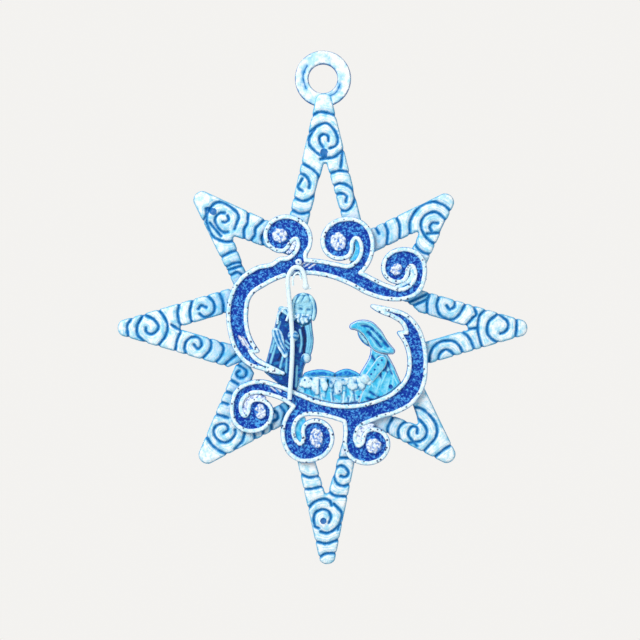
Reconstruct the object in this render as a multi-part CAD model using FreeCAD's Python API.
import FreeCAD, Part
import math
import os

os.makedirs("parts", exist_ok=True)

# Driving sizes, all in millimetres. The back of the ornament is the plane y = 0,
# the front looks along -Y, and the middle of the hanging hole is the origin.

ring_hole_radius = 3.2
ring_outer_radius = 6.2
ring_thick = 1.0

# Each ray is a blade with a notch that leaves two legs. reach runs from the middle of
# the star to the tip, crown from the tip to the notch; shift and notch_shift lie square
# to the ray, spread is half the angle between two edges, lean turns the ray off its
# eighth of the circle. The hand-finished rays differ a little, so each has its own row.
rays = {
    "ray_right": dict(eighth=0, lean=0, shift=0, reach=45.1, spread=16.5,
                      crown=13.2, notch_shift=0, notch_spread=16.5),
    "ray_upper_right": dict(eighth=1, lean=0.5, shift=0.2, reach=40.6, spread=19.6,
                            crown=10.9, notch_shift=-0.2, notch_spread=20),
    "ray_top": dict(eighth=2, lean=0.5, shift=-0.6, reach=51.7, spread=13.2,
                    crown=15.4, notch_shift=-0.8, notch_spread=15.3),
    "ray_upper_left": dict(eighth=3, lean=0.7, shift=-1.6, reach=40.7, spread=19.7,
                           crown=12.6, notch_shift=-0.6, notch_spread=25),
    "ray_left": dict(eighth=4, lean=0, shift=0, reach=45.3, spread=16.5,
                     crown=13.9, notch_shift=0, notch_spread=16.5),
    "ray_lower_left": dict(eighth=5, lean=2.4, shift=0.2, reach=39.8, spread=19.8,
                           crown=12.4, notch_shift=0.2, notch_spread=24),
    "ray_bottom": dict(eighth=6, lean=0.6, shift=0.4, reach=52.1, spread=12,
                       crown=15.6, notch_shift=0.4, notch_spread=16.5),
    "ray_lower_right": dict(eighth=7, lean=-0.6, shift=0, reach=40.9, spread=18.6,
                            crown=11.2, notch_shift=0.1, notch_spread=25)}
tip_margin = 0.1          # the top ray's tip stops this far short of the hanging hole
tip_half = 1.7            # half the width of a ray's blunt tip
tip_bulge = 0.9           # how far the round end stands out past the straight edges
notch_radius = 0.4        # rounding where the two legs of a ray meet
ray_thick = 1.5

plate_thick = 0.8         # blue floor of the two scrolls
rim_width = 1.0
rim_height = 0.6          # how far the white rims stand over the floor
button_height = 0.75
button_bevel = 0.3

drawing_step = 22.0       # real size of one step of the drawn outlines
chord_rise = 0.03         # how far the straight pieces of a drawn outline may leave its arcs
backing_thick = 0.9       # plate behind the relief scene
backing_edge = 0.15       # how far it shows outside the figures
robe_thick = 0.85
relief_thick = 0.45       # one more layer of relief on top of a robe
head_thick = 1.2
woman_face_thick = 0.7
man_head_half = 3.55      # half the height of the head
man_head_tilt = -4        # degrees to the left of upright
woman_head_half = 2.9
woman_head_tilt = 42
beard_lobe_radius = 0.5
child_thick = 0.6
crib_thick = 0.7
cloth_thick = 0.4
staff_radius = 0.52
staff_sides = 8
grip_radius = 1.25        # hand round the staff
hand_radius = 1.05
hand_height = 0.9
hand_top_share = 0.6      # of a hand's radius, at its front
helper_radius = 1.2       # hand of the kneeling woman

sector_half = 22.5        # half of one ray's eighth of the circle, in degrees

# Middle of the star on the drawn sheet

centre_across_share = 3.23
centre_down_share = 3.28

# Outlines: pairs of shares of drawing_step, counted from the sheet's upper left
# corner to the right and down. Each list is one smooth run between two corners.

upper_tail_share = (2.832, 3.731)
upper_left_shares = [
    upper_tail_share, (2.720, 3.710), (2.610, 3.680), (2.506, 3.645), (2.375, 3.515), (2.303, 3.310),
    (2.300, 3.020), (2.385, 2.822), (2.566, 2.685), (2.750, 2.632)]
upper_left_fork_share = (3.059, 2.605)
upper_middle_shares = [upper_left_fork_share, (3.200, 2.616), (3.380, 2.650)]
upper_middle_fork_share = (3.600, 2.730)
upper_right_shares = [upper_middle_fork_share, (3.720, 2.790), (3.860, 2.857)]
upper_inner_shares = [
    (4.170, 2.925), (4.060, 2.980), (3.900, 2.990), (3.700, 2.940), (3.500, 2.836), (3.330, 2.768),
    (3.100, 2.727), (2.880, 2.745), (2.650, 2.840), (2.500, 2.955), (2.459, 3.150), (2.480, 3.330),
    (2.575, 3.510)]
upper_notch_shares = [(2.575, 3.510), (2.502, 3.510)]
upper_back_shares = [(2.502, 3.510), (2.565, 3.592), (2.650, 3.640), upper_tail_share]

lower_tail_share = (3.725, 3.064)
lower_right_shares = [
    lower_tail_share, (3.877, 3.093), (4.058, 3.154), (4.160, 3.255), (4.236, 3.450), (4.252, 3.640),
    (4.220, 3.870), (4.120, 4.020), (3.950, 4.120), (3.800, 4.162)]
lower_right_fork_share = (3.444, 4.208)
lower_middle_shares = [lower_right_fork_share, (3.300, 4.160), (3.150, 4.136)]
lower_left_fork_share = (2.940, 4.062)
lower_left_shares = [lower_left_fork_share, (2.850, 3.998), (2.700, 3.942)]
lower_inner_shares = [
    (2.370, 3.905), (2.480, 3.835), (2.600, 3.815), (2.780, 3.858), (2.975, 3.937), (3.200, 4.025),
    (3.463, 4.063), (3.720, 4.025), (3.950, 3.915), (4.070, 3.770), (4.095, 3.593), (4.062, 3.445),
    (3.990, 3.330)]
lower_notch_shares = [(3.990, 3.330), (4.066, 3.325)]
lower_back_shares = [(4.066, 3.325), (4.030, 3.235), (3.930, 3.163), (3.810, 3.116), lower_tail_share]

# One curl, drawn once and used six times: degrees round its middle and a share of
# its radius, from the mouth of the slit to the hook's tip and then round the outside

curl_profile_shares = [
    (284, 1.45), (302, 1.37), (320, 1.22), (336, 1.06), (350, 0.91), (364, 0.70), (338, 0.52),
    (314, 0.68), (292, 0.91), (265, 1.02), (240, 1.07), (215, 1.08), (185, 1.03), (150, 0.96),
    (115, 0.95), (85, 1.01), (62, 1.13), (42, 1.27), (20, 1.41), (0, 1.51), (-20, 1.63)]

# Middle of each curl, its radius as a share, and its turn in degrees

curl_shares = {
    "upper_left": ((2.850, 2.342), 0.181, -27),
    "upper_middle": ((3.425, 2.390), 0.194, 0),
    "upper_right": ((4.000, 2.657), 0.163, -6),
    "lower_right": ((3.702, 4.460), 0.170, 172),
    "lower_middle": ((3.133, 4.400), 0.189, 190),
    "lower_left": ((2.558, 4.150), 0.156, 178)}

# Line on which the rays end, in the middle of the band under both scrolls

foot_shares = [
    (2.38, 3.20), (2.41, 2.98), (2.53, 2.83), (2.73, 2.71), (2.95, 2.66), (3.20, 2.68), (3.45, 2.72),
    (3.64, 2.82), (3.85, 2.92), (4.00, 2.99), (4.13, 3.065), (4.21, 3.15), (4.20, 3.35), (4.17, 3.65),
    (4.07, 3.92), (3.85, 4.06), (3.55, 4.12), (3.25, 4.10), (2.95, 4.01), (2.75, 3.91), (2.60, 3.82),
    (2.52, 3.70), (2.42, 3.50)]

# Buttons inside the curls: place, half width and half height

button_shares = {
    "upper_left_button": ((2.800, 2.356), 0.073, 0.073),
    "upper_middle_button": ((3.382, 2.417), 0.074, 0.087),
    "upper_right_button": ((3.960, 2.694), 0.050, 0.050),
    "lower_left_button": ((2.606, 4.112), 0.047, 0.060),
    "lower_middle_button": ((3.164, 4.376), 0.062, 0.090),
    "lower_right_button": ((3.735, 4.452), 0.068, 0.068)}

# Relief scene

man_robe_edge_shares = [
    [(2.650, 3.720), (2.672, 3.600), (2.705, 3.480), (2.747, 3.290), (2.785, 3.116)],
    [(2.785, 3.116), (2.860, 3.090), (2.960, 3.120), (3.110, 3.200)],
    [(3.110, 3.200), (3.116, 3.270), (3.130, 3.420), (3.098, 3.560), (3.046, 3.640), (3.018, 3.780)],
    [(3.018, 3.780), (2.985, 3.860), (2.960, 3.960)],
    [(2.960, 3.960), (2.860, 3.890), (2.760, 3.810), (2.650, 3.720)]]
# Both heads are plain ovals with the width to height of a drawing-book head
head_width_share = 0.667
man_head_spot_share = (3.035, 3.095)
woman_head_spot_share = (3.690, 3.355)
beard_size_share = 0.78   # of the head, and the place of the lobes of its hem
beard_top_share = 0.25    # of half the head, below its middle
beard_lobe_degrees = (-142, -116, -90, -64, -38)
shawl_edge_shares = [
    [(2.785, 3.100), (2.790, 3.072), (2.820, 3.062), (2.856, 3.076), (2.884, 3.110), (2.890, 3.170)],
    [(2.890, 3.170), (2.840, 3.140), (2.785, 3.100)]]
man_sleeve_edge_shares = [
    [(2.719, 3.326), (2.731, 3.285), (2.766, 3.278), (2.803, 3.298), (2.834, 3.350), (2.845, 3.410),
     (2.858, 3.480), (2.886, 3.550), (2.862, 3.579), (2.803, 3.523), (2.747, 3.410), (2.719, 3.326)]]
child_edge_shares = [
    [(3.040, 3.800), (3.040, 3.745), (3.100, 3.716), (3.205, 3.700), (3.290, 3.714), (3.350, 3.736)],
    [(3.350, 3.736), (3.400, 3.710), (3.463, 3.694), (3.540, 3.714), (3.596, 3.748)],
    [(3.596, 3.748), (3.610, 3.800)],
    [(3.610, 3.800), (3.040, 3.800)]]
crib_edge_shares = [
    [(2.960, 3.960), (2.978, 3.860), (2.990, 3.780)],
    [(2.990, 3.780), (3.150, 3.762), (3.400, 3.770), (3.640, 3.760)],
    [(3.640, 3.760), (3.656, 3.850)],
    [(3.656, 3.850), (3.620, 3.930), (3.590, 4.020), (3.580, 4.070)],
    [(3.580, 4.070), (3.400, 4.090), (3.150, 4.060), (2.960, 3.960)]]
cloth_edge_shares = [
    [(2.990, 3.790), (3.040, 3.763), (3.150, 3.768), (3.300, 3.782), (3.420, 3.792), (3.540, 3.772),
     (3.620, 3.770), (3.690, 3.790)],
    [(3.690, 3.790), (3.550, 3.845), (3.300, 3.850), (3.000, 3.835)],
    [(3.000, 3.835), (2.990, 3.790)]]
# Tongues of the cloth's hem: place of the rounded end, and half the width
hem_top_share = 3.820
hem_tongue_shares = [
    ((3.010, 3.850), 0.024), ((3.080, 3.868), 0.028), ((3.165, 3.925), 0.030), ((3.240, 3.858), 0.032),
    ((3.312, 3.858), 0.028), ((3.395, 3.905), 0.034), ((3.555, 3.870), 0.030), ((3.625, 3.845), 0.030),
    ((3.690, 3.825), 0.034)]
woman_robe_edge_shares = [
    [(3.560, 4.080), (3.590, 3.960), (3.630, 3.880), (3.660, 3.830)],
    [(3.660, 3.830), (3.600, 3.745)],
    [(3.600, 3.745), (3.645, 3.670), (3.700, 3.570), (3.715, 3.480)],
    [(3.715, 3.480), (3.770, 3.520), (3.870, 3.545)],
    [(3.870, 3.545), (3.935, 3.663), (3.990, 3.790), (4.015, 3.850)],
    [(4.015, 3.850), (3.900, 3.970), (3.750, 4.040), (3.560, 4.080)]]
woman_veil_edge_shares = [
    [(3.512, 3.242), (3.590, 3.207), (3.700, 3.214), (3.800, 3.298), (3.870, 3.410), (3.940, 3.494)],
    [(3.940, 3.494), (3.944, 3.520), (3.926, 3.537)],
    [(3.926, 3.537), (3.860, 3.536), (3.786, 3.523), (3.715, 3.480), (3.660, 3.385), (3.590, 3.312),
     (3.512, 3.290)],
    [(3.512, 3.290), (3.500, 3.264), (3.512, 3.242)]]
woman_sleeve_edge_shares = [
    [(3.655, 3.740), (3.740, 3.622), (3.775, 3.575), (3.820, 3.555), (3.866, 3.585), (3.860, 3.640),
     (3.790, 3.740), (3.722, 3.826)],
    [(3.722, 3.826), (3.655, 3.740)]]
staff_path_shares = [
    (2.897, 3.990), (2.925, 3.500), (2.912, 3.180), (2.882, 2.860), (2.890, 2.750), (2.942, 2.680),
    (3.010, 2.690), (3.045, 2.760), (3.062, 2.870)]
grip_share = (2.934, 3.358)
low_hand_share = (3.059, 3.579)
helper_hand_share = (3.645, 3.790)

# Sizes that follow from the ones above

star_drop = rays["ray_top"]["reach"] + ring_hole_radius + tip_margin
plate_front = ray_thick + plate_thick
rim_front = plate_front + rim_height
robe_front = ray_thick + robe_thick
crib_front = ray_thick + crib_thick
staff_depth = rim_front + staff_radius
far_away = max(ray["reach"] for ray in rays.values()) * 2
tiny = 1e-9
spots_per_arc = 24
up = FreeCAD.Vector(0, 1, 0)
right = FreeCAD.Vector(1, 0, 0)
forward = FreeCAD.Vector(0, 0, 1)
origin = FreeCAD.Vector(0, 0, 0)


# Everything is drawn flat: x to the right, y up, z towards the viewer.
# finish() turns it upright and writes it out.

def place(share):
    across = (share[0] - centre_across_share) * drawing_step
    high = (centre_down_share - share[1]) * drawing_step - star_drop
    return FreeCAD.Vector(across, high, 0)


def bend(start, heading, end):
    """An arc that leaves start along heading and ends at end, or a line if it is straight."""
    chord = end - start
    along = FreeCAD.Vector(chord).normalize()
    side = heading - along * heading.dot(along)
    if side.Length < tiny:
        return Part.LineSegment(start, end).toShape()
    half_turn = math.atan2(side.Length, heading.dot(along)) / 2
    middle = (start + end) / 2 + side.normalize() * (chord.Length / 2 * math.tan(half_turn))
    return Part.Arc(start, middle, end).toShape()


def biarc(start, heading, end, arrival):
    """Two arcs that join start and end with the given directions at both."""
    chord = end - start
    both = heading + arrival
    opening = 2 * (1 - heading.dot(arrival))
    if opening < tiny:
        arm = chord.dot(chord) / (4 * chord.dot(heading))
    else:
        arm = (math.sqrt(chord.dot(both) ** 2 + opening * chord.dot(chord)) - chord.dot(both)) / opening
    first = start + heading * arm
    second = end - arrival * arm
    joint = (first + second) / 2
    return [bend(start, heading, joint), bend(joint, (second - first).normalize(), end)]


def heading_at(before, here, after):
    """Direction of the circle through three points, at the middle one."""
    arriving = here - before
    leaving = after - here
    return (arriving * (leaving.Length / arriving.Length)
            + leaving * (arriving.Length / leaving.Length)).normalize()


def mirrored(heading, start, end):
    along = (end - start).normalize()
    return along * (2 * heading.dot(along)) - heading


def run_edges(shares):
    points = [place(share) for share in shares]
    if len(points) == 2:
        return [Part.LineSegment(points[0], points[1]).toShape()]
    round_trip = (points[0] - points[-1]).Length < tiny
    headings = [None] + [heading_at(*points[at - 1:at + 2]) for at in range(1, len(points) - 1)] + [None]
    if round_trip:
        headings[0] = heading_at(points[-2], points[0], points[1])
        headings[-1] = headings[0]
    else:
        headings[0] = mirrored(headings[1], points[0], points[1])
        headings[-1] = mirrored(headings[-2], points[-2], points[-1])
    edges = []
    for at in range(len(points) - 1):
        edges += biarc(points[at], headings[at], points[at + 1], headings[at + 1])
    return edges


def arc_face(runs):
    edges = []
    for shares in runs:
        edges += run_edges(shares)
    return Part.Face(Part.Wire(edges))


def thinned(points):
    """The fewest of the points whose straight lines stay within chord_rise of them all."""
    if len(points) < 3:
        return points
    way = points[-1] - points[0]

    def away(at):
        arm = points[at] - points[0]
        return arm.Length if way.Length < tiny else way.cross(arm).Length / way.Length

    farthest = max(range(1, len(points) - 1), key=away)
    if away(farthest) < chord_rise:
        return [points[0], points[-1]]
    return thinned(points[:farthest + 1])[:-1] + thinned(points[farthest:])


def chorded(face):
    """The face with its arcs drawn as chords."""
    points = []
    for edge in face.OuterWire.OrderedEdges:
        spots = edge.discretize(Number=spots_per_arc)
        if edge.Orientation == "Reversed":
            spots.reverse()
        points += spots[:-1]
    return polygon_face(thinned(points + points[:1])[:-1])


def outline_face(runs):
    return chorded(arc_face(runs))


def slab(face, start, thick):
    solid = face.extrude(forward * thick)
    solid.translate(forward * start)
    return solid


def finish(name, shape):
    shape = shape.copy()
    shape.rotate(origin, right, 90)
    shape.exportStep(os.path.join("parts", name + ".step"))
    print(name, len(shape.Solids), round(shape.Volume, 2), shape.isValid())


def polygon_face(points):
    return Part.Face(Part.makePolygon(points + points[:1]))


def oval_face(spot, half_width, half_height, tilt=0):
    rim = Part.Ellipse(origin, max(half_width, half_height) + tiny, min(half_width, half_height))
    face = Part.Face(Part.Wire([rim.toShape()]))
    if half_height > half_width:
        face.rotate(origin, forward, 90)
    face.rotate(origin, forward, tilt)
    face.translate(place(spot))
    return chorded(face)


def head_oval(spot, half, tilt, edge=0):
    return oval_face(spot, half * head_width_share + edge, half + edge, tilt)


def disc_face(middle, radius):
    return chorded(Part.Face(Part.Wire([Part.Circle(middle, forward, radius).toShape()])))


def curl(name):
    """Outline of one curl as shares, from the curl profile that all six use."""
    middle, radius_share, turn = curl_shares[name]
    spots = []
    for degrees, share in curl_profile_shares:
        angle = math.radians(degrees + turn)
        spots.append((middle[0] + math.cos(angle) * share * radius_share,
                      middle[1] - math.sin(angle) * share * radius_share))
    return spots


# Two scrolls

scroll_runs = {
    "upper_scroll": [
        upper_left_shares + curl("upper_left") + [upper_left_fork_share],
        upper_middle_shares + curl("upper_middle") + [upper_middle_fork_share],
        upper_right_shares + curl("upper_right") + upper_inner_shares,
        upper_notch_shares, upper_back_shares],
    "lower_scroll": [
        lower_right_shares + curl("lower_right") + [lower_right_fork_share],
        lower_middle_shares + curl("lower_middle") + [lower_left_fork_share],
        lower_left_shares + curl("lower_left") + lower_inner_shares,
        lower_notch_shares, lower_back_shares]}
plate_faces = {}
for name, runs in scroll_runs.items():
    middle_face = arc_face(runs)
    outer_face = chorded(middle_face.makeOffset2D(rim_width / 2))
    field_face = chorded(middle_face.makeOffset2D(-rim_width / 2))
    plate_faces[name] = outer_face
    finish(name + "_plate", slab(outer_face, ray_thick, plate_thick))
    finish(name + "_rim", slab(outer_face.cut(field_face), plate_front, rim_height))

# Hanging ring and the eight rays

ring_disc = Part.makeCylinder(ring_outer_radius, ring_thick)
ring_hole = Part.makeCylinder(ring_hole_radius, ring_thick)
finish("hanging_ring", ring_disc.cut(ring_hole))

star_middle = up * -star_drop
foot_face = outline_face([foot_shares + foot_shares[:1]])


def wedge(point, spread, half, bulge, shift):
    """A blade along +x: blunt round end at point, edges that open by spread towards x = 0."""
    shoulder = point - bulge
    root = half + shoulder * math.tan(math.radians(spread))
    upper = FreeCAD.Vector(shoulder, shift + half, 0)
    lower = FreeCAD.Vector(shoulder, shift - half, 0)
    upper_root = FreeCAD.Vector(0, shift + root, 0)
    lower_root = FreeCAD.Vector(0, shift - root, 0)
    return Part.Face(Part.Wire([
        Part.Arc(lower, FreeCAD.Vector(point, shift, 0), upper).toShape(),
        Part.LineSegment(upper, upper_root).toShape(),
        Part.LineSegment(upper_root, lower_root).toShape(),
        Part.LineSegment(lower_root, lower).toShape()]))


def ray_face(ray):
    blade = wedge(ray["reach"], ray["spread"], tip_half, tip_bulge, ray["shift"])
    # the notch's round end touches both of its edges
    spread = math.radians(ray["notch_spread"])
    notch = wedge(ray["reach"] - ray["crown"], ray["notch_spread"], notch_radius * math.cos(spread),
                  notch_radius * (1 - math.sin(spread)), ray["notch_shift"])
    face = blade.cut(notch)
    face.rotate(origin, forward, ray["lean"])
    sector_rise = far_away * math.tan(math.radians(sector_half))
    sector = polygon_face([origin, FreeCAD.Vector(far_away, -sector_rise, 0),
                           FreeCAD.Vector(far_away, sector_rise, 0)])
    return face.common(sector)


for name, ray in rays.items():
    face = ray_face(ray)
    face.rotate(origin, forward, ray["eighth"] * sector_half * 2)
    face.translate(star_middle)
    body = slab(face.cut(foot_face), 0, ray_thick)
    if name == "ray_top":
        body = body.cut(ring_disc)
    finish(name, body)

# Buttons of the curls

for name, (spot, half_width_share, half_height_share) in button_shares.items():
    base = oval_face(spot, half_width_share * drawing_step, half_height_share * drawing_step)
    body = slab(base, plate_front, button_height)
    front_edges = [edge for edge in body.Edges
                   if edge.BoundBox.ZMin > plate_front + button_height / 2]
    finish(name, body.makeChamfer(button_bevel, front_edges))

# Relief scene: figures laid side by side on a backing plate, which follows their
# outline a little outside it and reaches under both scrolls.

man_robe_whole = outline_face(man_robe_edge_shares)
head_face = head_oval(man_head_spot_share, man_head_half, man_head_tilt)
woman_oval = head_oval(woman_head_spot_share, woman_head_half, woman_head_tilt)
child_whole = outline_face(child_edge_shares)
crib_whole = outline_face(crib_edge_shares)
woman_robe_whole = outline_face(woman_robe_edge_shares)
veil_face = outline_face(woman_veil_edge_shares)
backing_faces = [chorded(arc_face(shares).makeOffset2D(backing_edge)) for shares in (
    man_robe_edge_shares, child_edge_shares, crib_edge_shares, woman_robe_edge_shares,
    woman_veil_edge_shares)]
backing_faces += [
    head_oval(man_head_spot_share, man_head_half, man_head_tilt, backing_edge),
    head_oval(woman_head_spot_share, woman_head_half, woman_head_tilt, backing_edge),
    disc_face(place(low_hand_share), hand_radius + backing_edge)]
scene_parts = [slab(face, ray_thick - backing_thick, backing_thick) for face in backing_faces]
finish("scene_backing", scene_parts[0].multiFuse(scene_parts[1:]).removeSplitter())

both_plates = plate_faces["upper_scroll"].fuse(plate_faces["lower_scroll"])
crib_face = crib_whole.cut(both_plates)
man_robe_face = man_robe_whole.cut(both_plates).cut(head_face).cut(crib_face)
child_face = child_whole.cut(crib_face).cut(man_robe_face)
woman_robe_face = woman_robe_whole.cut(both_plates).cut(crib_face).cut(veil_face).cut(child_face)
woman_head_face = woman_oval.cut(veil_face).cut(woman_robe_face)

head_front = ray_thick + head_thick
finish("man_robe", slab(man_robe_face, ray_thick, robe_thick))
finish("man_head", slab(head_face, ray_thick, head_thick))
finish("man_shawl", slab(outline_face(shawl_edge_shares), robe_front, relief_thick))
finish("man_sleeve", slab(outline_face(man_sleeve_edge_shares), robe_front, relief_thick))
finish("child", slab(child_face, ray_thick, child_thick))
finish("crib", slab(crib_face, ray_thick, crib_thick))
finish("woman_robe", slab(woman_robe_face, ray_thick, robe_thick))
finish("woman_head", slab(woman_head_face, ray_thick, woman_face_thick))
finish("woman_veil", slab(veil_face, ray_thick, head_thick))
finish("woman_sleeve", slab(outline_face(woman_sleeve_edge_shares), robe_front, relief_thick))

cloth = slab(outline_face(cloth_edge_shares), crib_front, cloth_thick)
for spot, half_share in hem_tongue_shares:
    half = half_share * drawing_step
    drop = place(spot)
    hem = place((spot[0], hem_top_share))
    strip = polygon_face([drop - right * half, drop + right * half, hem + right * half, hem - right * half])
    end = disc_face(drop, half)
    cloth = cloth.fuse([slab(strip, crib_front, cloth_thick), slab(end, crib_front, cloth_thick)])
finish("crib_cloth", cloth.removeSplitter())

# Full beard with a lobed hem, on the lower part of the head

beard_thick = relief_thick / 2
beard_half = man_head_half * beard_size_share
beard_oval = head_oval(man_head_spot_share, beard_half, man_head_tilt)
below = FreeCAD.Vector(-beard_half, -beard_half * 2, 0)
lower_half = Part.makePlane(beard_half * 2, beard_half * 2, below)
lower_half.translate(up * -man_head_half * beard_top_share)
lower_half.rotate(origin, forward, man_head_tilt)
lower_half.translate(place(man_head_spot_share))
lobes = []
for degrees in beard_lobe_degrees:
    angle = math.radians(degrees)
    spot = FreeCAD.Vector(math.cos(angle) * beard_half * head_width_share, math.sin(angle) * beard_half, 0)
    lobe = disc_face(spot, beard_lobe_radius)
    lobe.rotate(origin, forward, man_head_tilt)
    lobe.translate(place(man_head_spot_share))
    lobes.append(slab(lobe, head_front, beard_thick))
beard = slab(beard_oval.common(lower_half), head_front, beard_thick).fuse(lobes)
finish("man_beard", beard.removeSplitter())

# Crook staff in front of the rims, held by a hand that closes round it

staff_wire = Part.Wire(run_edges(staff_path_shares))
staff_wire.translate(forward * staff_depth)
staff_start = place(staff_path_shares[0]) + forward * staff_depth
staff_way = staff_wire.Edges[0].tangentAt(staff_wire.Edges[0].FirstParameter)
staff_side = staff_way.cross(forward).normalize() * staff_radius
corners = []
for side in range(staff_sides):
    turn = FreeCAD.Rotation(staff_way, 360 * (side + 0.5) / staff_sides)
    corners.append(staff_start + turn.multVec(staff_side))
staff_ring = Part.makePolygon(corners + corners[:1])
staff = staff_wire.makePipeShell([staff_ring], True, False)
finish("crook_staff", staff)


def knuckle(spot, radius, height):
    """A hand: a blunt cone that stands on a robe."""
    body = Part.makeCone(radius, radius * hand_top_share, height)
    body.translate(place(spot) + forward * robe_front)
    return body


grip_height = staff_depth + staff_radius - robe_front
finish("man_staff_hand", knuckle(grip_share, grip_radius, grip_height).cut(staff))
finish("man_low_hand", knuckle(low_hand_share, hand_radius, hand_height))
finish("woman_hand", knuckle(helper_hand_share, helper_radius, hand_height))
